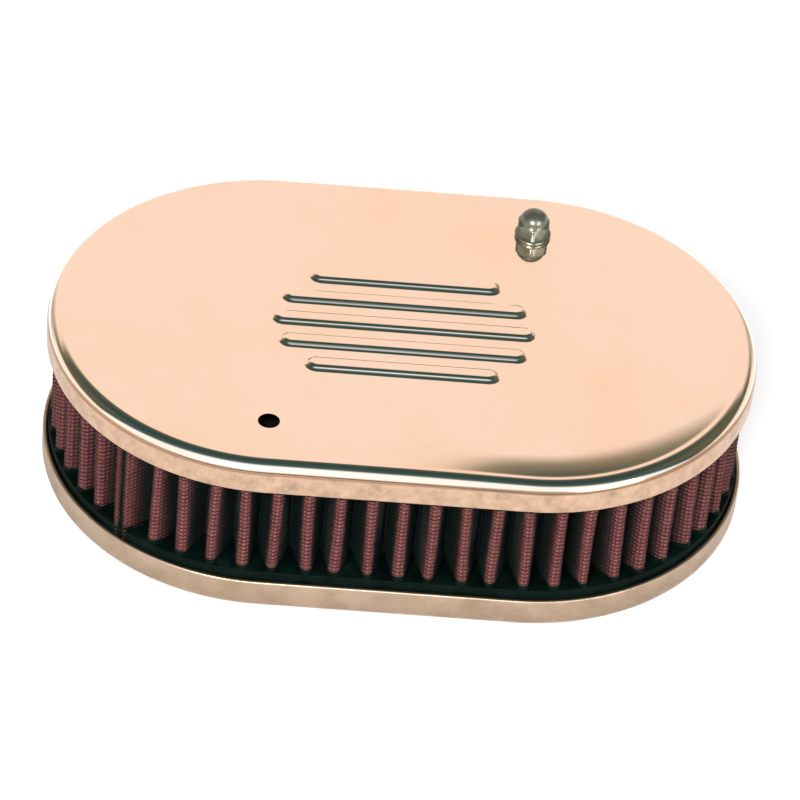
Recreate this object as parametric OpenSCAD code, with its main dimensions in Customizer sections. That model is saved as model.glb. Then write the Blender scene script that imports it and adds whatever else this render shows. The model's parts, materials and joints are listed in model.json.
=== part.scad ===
// Oval pleated air filter for a twin-throat side-draught carburetor, in millimetres.
// The long sides run along X, the air throats open downwards and the cover faces +Z.
// The origin is the middle of the base plate's underside.

/* [Outline] */
// Outside radius of the round ends of both plates
plate_r = 57.15; // [52:0.05:70]

/* [Cover] */
// Sheet thickness of the cover
cover_t = 1; // [0.7:0.1:1.4]
// Outside radius of the bend between the flat top and the skirt
cover_bend_r = 3.4; // [2:0.1:5]
// Height of the cover from the skirt's edge to its top
cover_depth = 8.4; // [6:0.1:9.5]

/* [Stiffening ribs] */
// Number of ribs pressed up in the cover
rib_count = 5; // [1:2:5]
// Distance between the ribs' middle lines
rib_pitch = 8.6; // [7:0.1:10]
// Width of a rib at its foot
rib_w = 5.4; // [4:0.1:6]
// Width of the slope on each side of a rib
rib_slope = 1.2; // [0.8:0.1:1.6]
// Height of a rib above the flat top
rib_h = 0.9; // [0.4:0.1:1.2]
// Half the length of the middle rib
rib_reach = 33; // [20:0.5:38]

/* [Base plate] */
// Sheet thickness of the base plate
base_t = 1.2; // [0.8:0.1:1.5]
// Outside radius of the bend between the flat bottom and the rim
base_bend_r = 3.1; // [2:0.1:4.5]
// Height of the rim above the base's underside
base_depth = 8.7; // [6:0.1:9.5]

/* [Air throats] */
// Inside radius of each air throat
throat_r = 25.5; // [18:0.5:26]
// Distance between the two throats' axes
throat_spacing = 90; // [80:0.5:110]
// Room between a throat's lip and the seals' inner wall at the ends of the oval
throat_margin = 2.35; // [0.5:0.05:10]
// Height of the throats' collars above the base's underside
collar_h = 6.2; // [4:0.1:8]
// Radius of the lip rolled outwards on each collar
lip_r = 1.4; // [1.3:0.1:1.8]
// Radius of the holes for the carburetor's studs
stud_hole_r = 3.3; // [2.5:0.1:3.5]
// Distance across X between the carburetor's stud holes
stud_spacing_x = 90; // [86:0.5:94]
// Distance across Y between the carburetor's stud holes
stud_spacing_y = 67; // [66:0.5:68]

/* [Filter element] */
// Height of the element between the two plates
element_h = 44.45; // [36:0.05:80]
// Height of the lower end seal
seal_h = 9.8; // [8:0.1:12]
// Height of the upper end seal
upper_seal_h = 8.9; // [8:0.1:12]
// Width of the seals, from their outer to their inner wall
seal_w = 11.8; // [10.5:0.1:12]
// Gap between the seals and the rims of the plates
seal_gap = 0.25; // [0.1:0.05:0.5]
// Radius of the small edges moulded on the seals
seal_edge_r = 0.3; // [0.1:0.05:0.3]
// Rubber left outside the outer folds and inside the inner folds
seal_skin = 0.4; // [0.35:0.05:0.6]
// Depth to which the pleats are cast into each seal
embed = 6.5; // [4:0.1:7]
// Width of the pads that seat a cover screw past the seal
screw_relief = 0.5; // [0.3:0.1:0.8]

/* [Pleats] */
// Number of pleats round the element
pleat_count = 60; // [50:1:62]
// Thickness of the cotton gauze
gauze_t = 0.8; // [0.6:0.05:0.9]
// Thickness of the wire screen on each face of the gauze
screen_t = 0.3; // [0.2:0.05:0.35]
// Inside radius of the folds
fold_r = 0.15; // [0.1:0.05:0.3]
// How far hand folding shifts a pleat from its even place
fold_wander = 0.25; // [0:0.05:0.4]
// Where the strip's ends meet, along the outline from the middle of the front
seam_place = -68.5; // [-80:0.5:-50]
// Extra room round the outline that the seam takes
seam_room = 3; // [2:0.1:4]
// Thickness of the adhesive bead between the strip's two ends
bead_t = 1.4; // [1:0.1:2]
// How far inwards of the strip's ends the adhesive bead starts
bead_inset = 0.3; // [0.2:0.1:0.6]
// Depth of the adhesive bead from there inwards
bead_depth = 2.7; // [2:0.1:4]

/* [Cover screw] */
// Distance of both screw places from the middle, along X
screw_x = 32.1; // [30:0.1:34]
// How far inside the seals' inner wall the screws' axes stand
screw_inset = 3.9; // [3.7:0.1:5]
// Radius of the screw's shank
screw_r = 2.45; // [2:0.05:2.5]
// Radius of the screw holes in the plates
screw_hole_r = 2.7; // [2.6:0.05:3]
// Radius of the countersunk head
head_r = 4.55; // [4.2:0.05:4.6]
// Width across the flats of the key socket in the head
key_flats = 3; // [2:0.5:3]
// Depth of the key socket
key_depth = 1.3; // [0.8:0.1:1.6]
// How far the screw's end stands above the lock washer
thread_reach = 4.4; // [3:0.1:4.6]

/* [Cap nut and washer] */
// Width of the cap nut across its flats
nut_flats = 8; // [7.5:0.5:9]
// Height of the cap nut's hexagon
hex_h = 3.5; // [3:0.1:4.5]
// Radius of the cap nut's dome
dome_r = 3.3; // [3.1:0.1:3.6]
// Turn of the hexagon about its axis, in degrees
nut_turn = 8; // [0:1:60]
// Outside radius of the lock washer
washer_r = 4.6; // [4.2:0.1:5]
// Thickness of the lock washer
washer_t = 1; // [0.8:0.1:1.4]
// Width of the split in the lock washer
washer_split = 0.8; // [0.5:0.1:1.2]

/* [Hidden] */
$fn = 64;

// Running clearance between two pieces that pass through each other
play = 0.05;
// Steps round the outside and the inside of each fold
outer_steps = 4;
inner_steps = 2;
// Turn between neighbouring pleats' hand-folding errors, in degrees
wander_turn = 137.5;

element_z = base_t;
cover_under = base_t + element_h;
total_h = cover_under + cover_t;

// Radii of the element's walls at the round ends
seal_out = plate_r - max(cover_t, base_t) - seal_gap;
seal_in = seal_out - seal_w;
// Half the length of the straight sides, which leaves room for the throats between the seals
straight_half = throat_spacing / 2 + throat_r + 2 * lip_r + throat_margin - seal_in;
// Radius of the edge that nests in the bend of either plate
seated_edge_r = max(cover_bend_r - cover_t, base_bend_r - base_t, seal_edge_r);

// The folded strip: total thickness, middle radius of a fold, and the fold centres' radii
strip_t = gauze_t + 2 * screen_t;
fold_mid = fold_r + strip_t / 2;
fold_out = fold_mid + strip_t / 2;
tip_r = seal_out - seal_skin - fold_out;
root_r = seal_in + seal_skin + fold_out;
pleat_z = element_z + seal_h - embed;
pleat_h = element_h - (seal_h - embed) - (upper_seal_h - embed);

// The dimple that seats the countersunk head, pressed up in the base plate
seat_r = head_r + play;
seat_h = seat_r - screw_hole_r;
dimple_top = seat_h + base_t * 0.7;
dimple_r = seat_r + base_t;

// Way round the oval through the outer fold centres, and the room that one pleat takes
round_length = 4 * straight_half + 2 * PI * tip_r;
pleat_pitch = (round_length - seam_room) / pleat_count;

// Places of the two cover screws: the first carries the screw, the second is open. They stand
// on an oval that runs inside the seals' inner wall.
screw_y = sqrt(pow(seal_in - screw_inset, 2) - pow(max(screw_x - straight_half, 0), 2));
function screw_place(side) = [side * screw_x, side * screw_y];

// Local frame at a way s round the oval from the middle of the front, counter-clockwise:
// the foot on the middle line and the direction outwards, in degrees.
function oval_frame(s) =
    let (w = s - round_length * floor((s + straight_half) / round_length),
         arc = PI * tip_r)
    w <= straight_half ? [[w, 0], -90]
    : w <= straight_half + arc ? [[straight_half, 0], -90 + (w - straight_half) / tip_r * 180 / PI]
    : w <= 3 * straight_half + arc ? [[straight_half - (w - straight_half - arc), 0], 90]
    : [[-straight_half, 0], 90 + (w - 3 * straight_half - arc) / tip_r * 180 / PI];

function turned(angle) = [cos(angle), sin(angle)];
function heading(v) = atan2(v[1], v[0]);
function oval_point(s, r) = let (f = oval_frame(s)) f[0] + r * turned(f[1]);

// Fold centres. Tip k lies between roots k - 1 and k, and the seam takes the place of tip 0.
function wander(k) = fold_wander * sin(k * wander_turn);
function way(k) = seam_place + seam_room / 2 + k * pleat_pitch;
function tip_centre(k) = oval_point(way(k) + wander(k), tip_r);
function root_centre(k) = oval_point(way(k + 0.5) + wander(k) / 2, root_r);

// The strip's two ends stand side by side at the seam, level with the outer folds.
end_shift = (bead_t + strip_t) / 2;
function strip_end(side) = oval_point(seam_place + side * end_shift, tip_r + fold_out);

// Direction square to a flank, pointing round the oval. It goes in from a tip or out to one,
// and touches a fold circle of radius fold_mid at one end, or at both ends.
function flank_in(from, to, touch) = let (d = to - from) heading(d) - acos(touch * fold_mid / norm(d));
function flank_out(from, to, touch) = let (d = to - from) heading(d) + acos(touch * fold_mid / norm(d));
function before_root(k) =
    k == 0 ? flank_in(strip_end(1), root_centre(0), 1) : flank_in(tip_centre(k), root_centre(k), 2);
function after_root(k) =
    k == pleat_count - 1 ? flank_out(root_centre(k), strip_end(-1), 1)
                         : flank_out(root_centre(k), tip_centre(k + 1), 2);

function arc_points(centre, r, from, sweep) =
    let (steps = r > fold_mid ? outer_steps : inner_steps)
    [for (i = [0:steps]) centre + r * turned(from + sweep * i / steps)];
// Smallest turn from one heading to another, in the way that the sign gives
function turn_ccw(from, to) = (to - from) - 360 * floor((to - from) / 360);

// A root is passed clockwise and a tip counter-clockwise, d outside the strip's middle.
function root_arc(k, d) =
    let (a = before_root(k) + 180, b = after_root(k))
    arc_points(root_centre(k), fold_mid - d, a, -turn_ccw(b, a));
function tip_arc(k, d) =
    let (a = after_root(k - 1) + 180, b = before_root(k))
    arc_points(tip_centre(k), fold_mid + d, a, turn_ccw(a, b));

// One face of the strip, from the seam round the oval and back to the seam
function strip_side(d) = concat(
    [strip_end(1) + d * turned(before_root(0))],
    root_arc(0, d),
    [for (k = [1:pleat_count - 1]) each concat(tip_arc(k, d), root_arc(k, d))],
    [strip_end(-1) - d * turned(after_root(pleat_count - 1))]
);
function reversed(list) = [for (i = [len(list) - 1:-1:0]) list[i]];

module strip_layer(inner, outer) {
    polygon(concat(strip_side(outer), reversed(strip_side(inner))));
}

module whole_strip() {
    strip_layer(-strip_t / 2, strip_t / 2);
}

// Wedge of adhesive between the strip's two ends, or the pocket for it, which runs on into both
module bead_outline(run_on = 0) {
    a = before_root(0);
    b = after_root(pleat_count - 1);
    depths = [bead_inset, bead_inset + bead_depth];
    near = [for (depth = depths) strip_end(1) - strip_t / 2 * turned(a) + depth * turned(a + 90)];
    far = [for (depth = depths) strip_end(-1) + strip_t / 2 * turned(b) + depth * turned(b + 90)];
    extra = [for (i = [0, 1]) (near[i] - far[i]) / norm(near[i] - far[i]) * run_on];
    polygon([near[0] + extra[0], near[1] + extra[1], far[1] - extra[1], far[0] - extra[0]]);
}

// An oval swept from a half section, which is drawn with X outwards and Y upwards
module oval_sweep() {
    for (side = [-1, 1])
        translate([side * straight_half, 0, 0])
            rotate(side * 90 - 180) rotate_extrude(angle = 180) children();
    for (side = [-1, 1])
        rotate(side * 90) translate([0, straight_half, 0])
            rotate([90, 0, 0]) linear_extrude(2 * straight_half) children();
}

module oval_area(r) {
    for (side = [-1, 1]) translate([side * straight_half, 0]) circle(r);
    square([2 * straight_half, 2 * r], center = true);
}

// Half section of a plate's rim: an upright wall that bends into the flat at its foot
module rim_section(depth, bend, t) {
    translate([plate_r - t, bend]) square([t, depth - bend]);
    intersection() {
        translate([plate_r - bend, bend]) difference() {
            circle(bend);
            circle(bend - t);
        }
        translate([plate_r - bend, 0]) square(bend);
    }
}

module pressed_plate(depth, bend, t) {
    oval_sweep() rim_section(depth, bend, t);
    linear_extrude(t) oval_area(plate_r - bend);
}

// A long rib with sloped sides and round ends, and its foot at z = 0
module rib(reach, w) {
    top_w = w - 2 * rib_slope;
    for (side = [-1, 1])
        translate([side * (reach - w / 2), 0, 0]) cylinder(h = rib_h, r1 = w / 2, r2 = top_w / 2);
    rotate([90, 0, 90]) linear_extrude(2 * reach - w, center = true)
        polygon([[-w / 2, 0], [w / 2, 0], [top_w / 2, rib_h], [-top_w / 2, rib_h]]);
}

// The ribs fill an oval outline, so the outer ones are shorter.
module rib_group(w) {
    half = (rib_count - 1) / 2;
    for (i = [-half:half])
        translate([0, i * rib_pitch, 0]) rib(rib_reach - pow(i * rib_pitch, 2) / rib_reach, w);
}

module cover() {
    color("lightsteelblue") difference() {
        union() {
            translate([0, 0, total_h]) mirror([0, 0, 1])
                pressed_plate(cover_depth, cover_bend_r, cover_t);
            translate([0, 0, total_h]) rib_group(rib_w);
        }
        translate([0, 0, cover_under]) rib_group(rib_w - cover_t);
        for (side = [-1, 1])
            translate(concat(screw_place(side), cover_under - 1))
                cylinder(h = cover_t + 2, r = screw_hole_r);
    }
}

// A throat's wall, drawn up from the sheet, with its lip rolled outwards
module throat_collar() {
    rotate_extrude() {
        translate([throat_r, 0]) square([base_t, collar_h - lip_r]);
        translate([throat_r + lip_r, collar_h - lip_r]) intersection() {
            difference() {
                circle(lip_r);
                circle(lip_r - base_t);
            }
            translate([-lip_r, 0]) square([2 * lip_r, lip_r]);
        }
    }
}

module screw_dimple() {
    rotate_extrude() polygon([
        [seat_r, 0], [screw_hole_r, seat_h], [screw_hole_r, dimple_top],
        [screw_hole_r + base_t / 2, dimple_top], [dimple_r, base_t], [dimple_r, 0]
    ]);
}

module base_plate() {
    color("silver") {
        difference() {
            pressed_plate(base_depth, base_bend_r, base_t);
            for (side = [-1, 1]) {
                translate([side * throat_spacing / 2, 0, -1])
                    cylinder(h = base_t + 2, r = throat_r + base_t / 2);
                translate(concat(screw_place(side), -1)) cylinder(h = base_t + 2, r = dimple_r);
                for (end = [-1, 1])
                    translate([side * stud_spacing_x / 2, end * stud_spacing_y / 2, -1])
                        cylinder(h = base_t + 2, r = stud_hole_r);
            }
        }
        for (side = [-1, 1]) {
            translate([side * throat_spacing / 2, 0, 0]) throat_collar();
            translate(screw_place(side)) screw_dimple();
        }
    }
}

// Half section of a seal: a block with small rounded edges, and a larger one that nests in
// the bend of a plate
module seal_section(h) {
    difference() {
        union() {
            translate([seal_in + seal_edge_r, 0]) square([seal_w - 2 * seal_edge_r, h]);
            translate([seal_in, seal_edge_r]) square([seal_w, h - 2 * seal_edge_r]);
            for (x = [seal_in + seal_edge_r, seal_out - seal_edge_r], y = [seal_edge_r, h - seal_edge_r])
                translate([x, y]) circle(seal_edge_r);
        }
        difference() {
            translate([seal_out - seated_edge_r, -1]) square([seated_edge_r + 1, seated_edge_r + 1]);
            translate([seal_out - seated_edge_r, seated_edge_r]) circle(seated_edge_r);
        }
    }
}

// A moulded seal with the pleats' ends cast into it, lying on its flat side
module end_seal(h) {
    difference() {
        oval_sweep() seal_section(h);
        translate([0, 0, h - embed]) linear_extrude(embed + 1) {
            whole_strip();
            bead_outline(run_on = strip_t / 2);
        }
    }
}

module lower_seal() {
    color("dimgray") difference() {
        translate([0, 0, element_z]) end_seal(seal_h);
        for (side = [-1, 1])
            translate(concat(screw_place(side), 0))
                cylinder(h = dimple_top + screw_relief, r = dimple_r + screw_relief);
    }
}

module upper_seal() {
    color("dimgray") translate([0, 0, cover_under]) rotate([180, 0, 0]) mirror([0, 1, 0])
        end_seal(upper_seal_h);
}

module outer_screen() {
    color("darkslategray") translate([0, 0, pleat_z])
        linear_extrude(pleat_h) strip_layer(gauze_t / 2, strip_t / 2);
}

module cotton_gauze() {
    color("indianred") translate([0, 0, pleat_z])
        linear_extrude(pleat_h) strip_layer(-gauze_t / 2, gauze_t / 2);
}

module inner_screen() {
    color("darkslategray") translate([0, 0, pleat_z])
        linear_extrude(pleat_h) strip_layer(-strip_t / 2, -gauze_t / 2);
}

module seam_bead() {
    color("black") translate([0, 0, pleat_z]) linear_extrude(pleat_h) bead_outline();
}

// Countersunk screw with its head flush in the base plate's dimple
module cover_screw() {
    shank_top = total_h + washer_t + thread_reach;
    color("gainsboro") translate(screw_place(1)) difference() {
        union() {
            cylinder(h = head_r - screw_r, r1 = head_r, r2 = screw_r);
            cylinder(h = shank_top - screw_r / 4, r = screw_r);
            translate([0, 0, shank_top - screw_r / 4])
                cylinder(h = screw_r / 4, r1 = screw_r, r2 = screw_r * 3 / 4);
        }
        translate([0, 0, -1]) cylinder(h = key_depth + 1, r = key_flats / 2 / cos(30), $fn = 6);
    }
}

module lock_washer() {
    color("gainsboro") translate(concat(screw_place(1), total_h)) difference() {
        cylinder(h = washer_t, r = washer_r);
        translate([0, 0, -1]) cylinder(h = washer_t + 2, r = screw_r + 2 * play);
        rotate(nut_turn + 100) translate([0, -washer_split / 2, -1])
            cube([washer_r + 1, washer_split, washer_t + 2]);
    }
}

// Low cap nut: a chamfered hexagon with a dome, and a blind bore
module cap_nut() {
    corner_r = nut_flats / 2 / cos(30);
    chamfer = corner_r - nut_flats / 2;
    color("gainsboro") translate(concat(screw_place(1), total_h + washer_t)) difference() {
        union() {
            intersection() {
                rotate(nut_turn) cylinder(h = hex_h, r = corner_r, $fn = 6);
                union() {
                    cylinder(h = hex_h - chamfer, r = corner_r);
                    translate([0, 0, hex_h - chamfer])
                        cylinder(h = chamfer, r1 = corner_r, r2 = nut_flats / 2);
                }
            }
            translate([0, 0, hex_h]) intersection() {
                sphere(dome_r);
                cylinder(h = dome_r, r = dome_r);
            }
        }
        translate([0, 0, -1]) cylinder(h = thread_reach + play + 1.5, r = screw_r + play);
    }
}

cover();
base_plate();
upper_seal();
lower_seal();
outer_screen();
cotton_gauze();
inner_screen();
seam_bead();
cover_screw();
lock_washer();
cap_nut();
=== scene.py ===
import json
import math

import bmesh
import bpy
import numpy as np
from mathutils import Matrix, Vector
from mathutils.geometry import delaunay_2d_cdt


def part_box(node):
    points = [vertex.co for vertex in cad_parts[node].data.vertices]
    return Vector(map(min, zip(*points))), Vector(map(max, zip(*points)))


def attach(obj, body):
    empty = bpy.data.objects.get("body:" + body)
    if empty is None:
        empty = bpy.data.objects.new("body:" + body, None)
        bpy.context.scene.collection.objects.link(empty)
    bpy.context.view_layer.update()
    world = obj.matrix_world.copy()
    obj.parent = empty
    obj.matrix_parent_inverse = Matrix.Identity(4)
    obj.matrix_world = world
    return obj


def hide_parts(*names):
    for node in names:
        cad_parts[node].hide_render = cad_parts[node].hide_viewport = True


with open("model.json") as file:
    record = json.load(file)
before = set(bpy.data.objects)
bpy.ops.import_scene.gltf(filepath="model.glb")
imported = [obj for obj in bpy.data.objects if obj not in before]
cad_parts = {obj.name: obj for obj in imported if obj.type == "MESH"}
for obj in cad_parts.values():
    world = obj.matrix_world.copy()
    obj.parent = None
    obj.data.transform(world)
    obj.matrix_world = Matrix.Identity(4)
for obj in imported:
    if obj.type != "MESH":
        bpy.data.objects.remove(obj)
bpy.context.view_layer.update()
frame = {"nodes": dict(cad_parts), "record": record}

# Camera
# The filter is seen from above its front long side through a long lens, and the camera is
# turned a little, so that the long sides run down to the right.
view_azimuth, view_elevation, view_roll = (math.radians(d) for d in (-2.53, 40.46, 5.86))
view_distance = 1.2889
view_aim = Vector((0.00204, 0.02601, 0.0))
focal_pixels, frame_pixels = 4963.8, 800

view_back = Vector((
    math.sin(view_azimuth) * math.cos(view_elevation),
    -math.cos(view_azimuth) * math.cos(view_elevation),
    math.sin(view_elevation),
))
level_right = Vector((0, 0, 1)).cross(view_back).normalized()
level_up = view_back.cross(level_right)
tilted_right = level_right * math.cos(view_roll) + level_up * math.sin(view_roll)
tilted_up = level_up * math.cos(view_roll) - level_right * math.sin(view_roll)

camera = bpy.data.objects.new("camera", bpy.data.cameras.new("camera"))
camera.data.sensor_width = 36
camera.data.lens = focal_pixels / frame_pixels * camera.data.sensor_width
camera.data.clip_end = 20
camera.matrix_world = (
    Matrix.Translation(view_aim + view_back * view_distance)
    @ Matrix((tilted_right, tilted_up, view_back)).transposed().to_4x4()
)
bpy.context.collection.objects.link(camera)
bpy.context.scene.camera = camera

# Cover
# One polished steel pressing, 1 mm thick: a flat top, a tight bend all round, a short upright
# skirt, and a group of shallow stiffening ribs pressed up in its middle. It has two plain
# holes for the cover screws, and only the far one holds a screw.
MM = 0.001


def box_mm(node):
    """A CAD node's lowest and highest corners, in millimetres."""
    return [np.array(corner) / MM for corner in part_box(node)]


cover_low, cover_high = box_mm("cover")
upper_low, upper_high = box_mm("upper_seal")
cover_t = 1.0
cover_top = upper_high[2] + cover_t
cover_edge_z = cover_low[2]
plate_r = cover_high[1]
straight_half = cover_high[0] - plate_r
cover_bend_r, cover_edge_r = 3.4, 0.3
flat_r, bend_z = plate_r - cover_bend_r, cover_top - cover_bend_r
rib_pitch, rib_w, rib_slope, rib_h, rib_reach = 8.6, 5.4, 1.3, 0.85, 33
rib_rows = np.arange(-2, 3) * rib_pitch
screw_x, screw_y = sum(box_mm("cap_nut"))[:2] / 2
screw_places = [(screw_x, screw_y), (-screw_x, -screw_y)]
screw_hole_r = 2.7


def oval_stations(straight_steps, end_steps):
    """Feet on the oval's middle line and the directions outwards from them: the foot runs
    along each straight side, and it stays at the side's end while the direction turns by 180
    degrees round that end."""
    run = np.linspace(-straight_half, straight_half, straight_steps, endpoint=False)
    turn = np.linspace(-90, 90, end_steps, endpoint=False)
    ends = np.full(end_steps, straight_half)
    foot = np.concatenate([run, ends, -run, -ends])
    sides = np.full(straight_steps, 90.0)
    angle = np.radians(np.concatenate([-sides, turn, sides, turn + 180]))
    return foot, np.cos(angle), np.sin(angle)


def round_oval(profile, stations):
    """A profile of radius and height carried round the oval: each point lies its radius
    outwards from the station's foot, at its own height."""
    foot, across, along = (a[:, None] for a in stations)
    radius, height = (c[None, :] for c in np.asarray(profile, float).T)
    return np.stack(np.broadcast_arrays(foot + across * radius, along * radius, height), -1)


def grid_faces(rows, columns, rows_close=True, columns_close=False):
    """Quads between neighbouring points of a grid, wrapped where the grid closes on itself."""
    i = np.arange(rows if rows_close else rows - 1)[:, None]
    j = np.arange(columns if columns_close else columns - 1)[None, :]
    next_i, next_j = (i + 1) % rows * columns, (j + 1) % columns
    corners = np.broadcast_arrays(i * columns + j, i * columns + next_j, next_i + next_j, next_i + j)
    return np.stack(corners, -1).reshape(-1, 4)


def arc(centre_r, centre_z, radius, start, end, steps):
    """Points of a profile on a circle, from one angle to another in degrees."""
    angle = np.radians(np.linspace(start, end, steps + 1))
    return np.stack([centre_r + radius * np.cos(angle), centre_z + radius * np.sin(angle)], 1)


def make_piece(name, points, faces, material, merge=False, recalculate=False, sharp=40):
    """Puts points in millimetres and their faces into a mesh that rides on the filter, and
    marks the edges sharper than an angle."""
    mesh = bpy.data.meshes.new(name)
    mesh.from_pydata((np.reshape(points, (-1, 3)) * MM).tolist(), [], faces)
    if merge:
        work = bmesh.new()
        work.from_mesh(mesh)
        bmesh.ops.remove_doubles(work, verts=work.verts, dist=2e-6)
        if recalculate:
            bmesh.ops.recalc_face_normals(work, faces=work.faces)
        work.to_mesh(mesh)
        work.free()
    mesh.materials.append(material)
    mesh.polygons.foreach_set("use_smooth", np.ones(len(mesh.polygons), bool))
    mesh.set_sharp_from_angle(angle=math.radians(sharp))
    piece = bpy.data.objects.new(name, mesh)
    bpy.context.collection.objects.link(piece)
    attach(piece, "root")
    return piece


def add_node(tree, kind, inputs=(), **settings):
    """A shader node with its settings, whose sockets are given values or other outputs."""
    node = tree.nodes.new("ShaderNode" + kind)
    for key, value in settings.items():
        setattr(node, key, value)
    for socket, value in dict(inputs).items():
        if isinstance(value, bpy.types.NodeSocket):
            tree.links.new(value, node.inputs[socket])
        else:
            node.inputs[socket].default_value = value
    return node


def add_ramp(tree, factor, stops):
    """A colour ramp with its stops given as position and colour."""
    ramp = add_node(tree, "ValToRGB", {"Fac": factor})
    elements = ramp.color_ramp.elements
    for place, colour in stops[:-2]:
        elements.new(place)
    for element, (place, colour) in zip(elements, sorted(stops)):
        element.position = place
        element.color = (*colour, 1) if len(colour) == 3 else colour
    return ramp.outputs["Color"]


def mix_colours(tree, factor, first, second):
    """Two colours mixed by a factor; at 1 only the second shows."""
    return add_node(tree, "Mix", {0: factor, 6: first, 7: second}, data_type="RGBA").outputs[2]


def grey(value):
    """A colour of three equal parts."""
    return (value, value, value)


def new_group(name, inputs, outputs):
    """An empty shader group with named sockets, and its input and output nodes."""
    group = bpy.data.node_groups.new(name, "ShaderNodeTree")
    for socket, kind in inputs.items():
        group.interface.new_socket(name=socket, in_out="INPUT", socket_type="NodeSocket" + kind)
    for socket, kind in outputs.items():
        group.interface.new_socket(name=socket, in_out="OUTPUT", socket_type="NodeSocket" + kind)
    return group, group.nodes.new("NodeGroupInput").outputs, group.nodes.new("NodeGroupOutput").inputs


def new_material(name, **values):
    """A material with its Principled shader's plain values set, and the object coordinates."""
    material = bpy.data.materials.new(name)
    material.use_nodes = True
    tree = material.node_tree
    shader = tree.nodes["Principled BSDF"]
    for socket, value in values.items():
        shader.inputs[socket.replace("_", " ")].default_value = value
    return material, tree, shader, tree.nodes.new("ShaderNodeTexCoord").outputs["Object"]


# Handled sheet metal: cloudy tarnish, fine rubbing marks and a grain that blurs reflections
handled_metal, given, result = new_group(
    "handled_metal",
    {"Vector": "Vector", "Clean": "Color", "Tarnish": "Color", "Amount": "Float",
     "Cloud Scale": "Float", "Grain Scale": "Float", "Gloss": "Float", "Blur": "Float"},
    {"Color": "Color", "Roughness": "Float", "Height": "Float"},
)
cloud = add_node(handled_metal, "TexNoise", {
    "Vector": given["Vector"], "Scale": given["Cloud Scale"], "Detail": 5, "Roughness": 0.62})
cloud_mask = add_ramp(handled_metal, cloud.outputs["Fac"], [(0.42, grey(0)), (0.68, grey(1))])
grain = add_node(handled_metal, "TexNoise", {
    "Vector": given["Vector"], "Scale": given["Grain Scale"], "Detail": 4, "Roughness": 0.7})
amount = add_node(handled_metal, "Math", {0: cloud_mask, 1: given["Amount"]}, operation="MULTIPLY")
tinted = mix_colours(handled_metal, amount.outputs[0], given["Clean"], given["Tarnish"])
grain_blur = add_node(handled_metal, "Math", {
    0: grain.outputs["Fac"], 1: given["Blur"], 2: given["Gloss"]}, operation="MULTIPLY_ADD")
cloud_blur = add_node(handled_metal, "Math", {
    0: amount.outputs[0], 1: 0.1, 2: grain_blur.outputs[0]}, operation="MULTIPLY_ADD")
handled_metal.links.new(tinted, result["Color"])
handled_metal.links.new(cloud_blur.outputs[0], result["Roughness"])
handled_metal.links.new(grain.outputs["Fac"], result["Height"])


def use_handled_metal(tree, shader, vector, bump=0.02, **values):
    """Places the handled metal in a material and feeds its colour, roughness and bump."""
    node = tree.nodes.new("ShaderNodeGroup")
    node.node_tree = handled_metal
    tree.links.new(vector, node.inputs["Vector"])
    for socket, value in values.items():
        node.inputs[socket.replace("_", " ")].default_value = value
    tree.links.new(node.outputs["Color"], shader.inputs["Base Color"])
    tree.links.new(node.outputs["Roughness"], shader.inputs["Roughness"])
    relief = add_node(tree, "Bump", {
        "Strength": bump, "Distance": 0.0002, "Height": node.outputs["Height"]})
    tree.links.new(relief.outputs["Normal"], shader.inputs["Normal"])
    return node


cover_steel, tree, shader, place = new_material("polished_cover", Metallic=1.0)
polish = use_handled_metal(
    tree, shader, place, bump=0.01, Clean=(0.94, 0.805, 0.705, 1), Tarnish=(0.93, 0.7, 0.52, 1),
    Amount=0.6, Cloud_Scale=17, Grain_Scale=900, Gloss=0.02, Blur=0.05)
# The skirt is only brushed: it is duller and mottled below the bend, and its darker tan there is a painted
# reflection.
height = add_node(tree, "SeparateXYZ", {"Vector": place}).outputs["Z"]
polish_end, brush_start = bend_z + 1.6, bend_z + 0.3
skirt = add_node(tree, "MapRange", {
    "Value": height, "From Min": polish_end * MM, "From Max": brush_start * MM}).outputs[0]
mottle = add_node(tree, "TexNoise", {"Vector": place, "Scale": 260, "Detail": 6, "Roughness": 0.7})
skirt_mottle_and_painted_reflection = add_ramp(tree, mottle.outputs["Fac"], [
    (0.3, (0.33, 0.24, 0.165)), (0.45, (0.5, 0.33, 0.225)), (0.68, (0.62, 0.42, 0.3))])
# A tan line is painted where the polishing ends, low on the bend: a painted reflection of a dark band.
line = add_ramp(tree, skirt, [
    (0.0, grey(1)), (0.12, (0.5, 0.4, 0.32)), (0.6, (0.42, 0.31, 0.23)), (1.0, grey(1))])
tint_with_painted_reflection = mix_colours(tree, skirt, polish.outputs["Color"], skirt_mottle_and_painted_reflection)
with_painted_reflection_line = add_node(
    tree, "Mix", {0: 1.0, 6: tint_with_painted_reflection, 7: line}, data_type="RGBA", blend_type="MULTIPLY")
tree.links.new(with_painted_reflection_line.outputs[2], shader.inputs["Base Color"])
dull = add_node(tree, "Math", {
    0: skirt, 1: 0.3, 2: polish.outputs["Roughness"]}, operation="MULTIPLY_ADD")
tree.links.new(dull.outputs[0], shader.inputs["Roughness"])


def rib_height(x, y, width):
    """Height of the pressed ribs over a point: full on a rib's top, falling smoothly across
    its slope with the distance from the rib's middle line, and nothing outside it."""
    height = np.zeros_like(x)
    for row in rib_rows:
        reach = rib_reach - row * row / rib_reach - width / 2
        distance = np.hypot(np.maximum(abs(x) - reach, 0), y - row)
        rise = np.clip((width / 2 - distance) / rib_slope, 0, 1)
        height = height + rib_h * rise * rise * (3 - 2 * rise)
    return height


def sheet_edge(radius, height, thickness, edge_r, downwards):
    """The rounded lower edge of a skirt or upper edge of a rim, from its outer to its inner
    face: two quarter circles with a narrow flat between them."""
    sign = -1 if downwards else 1
    centre_z = height - sign * edge_r
    outer = arc(radius - edge_r, centre_z, edge_r, 0, sign * 90, 4)
    inner = arc(radius - thickness + edge_r, centre_z, edge_r, sign * 90, sign * 180, 4)
    return np.concatenate([outer, inner])


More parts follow.
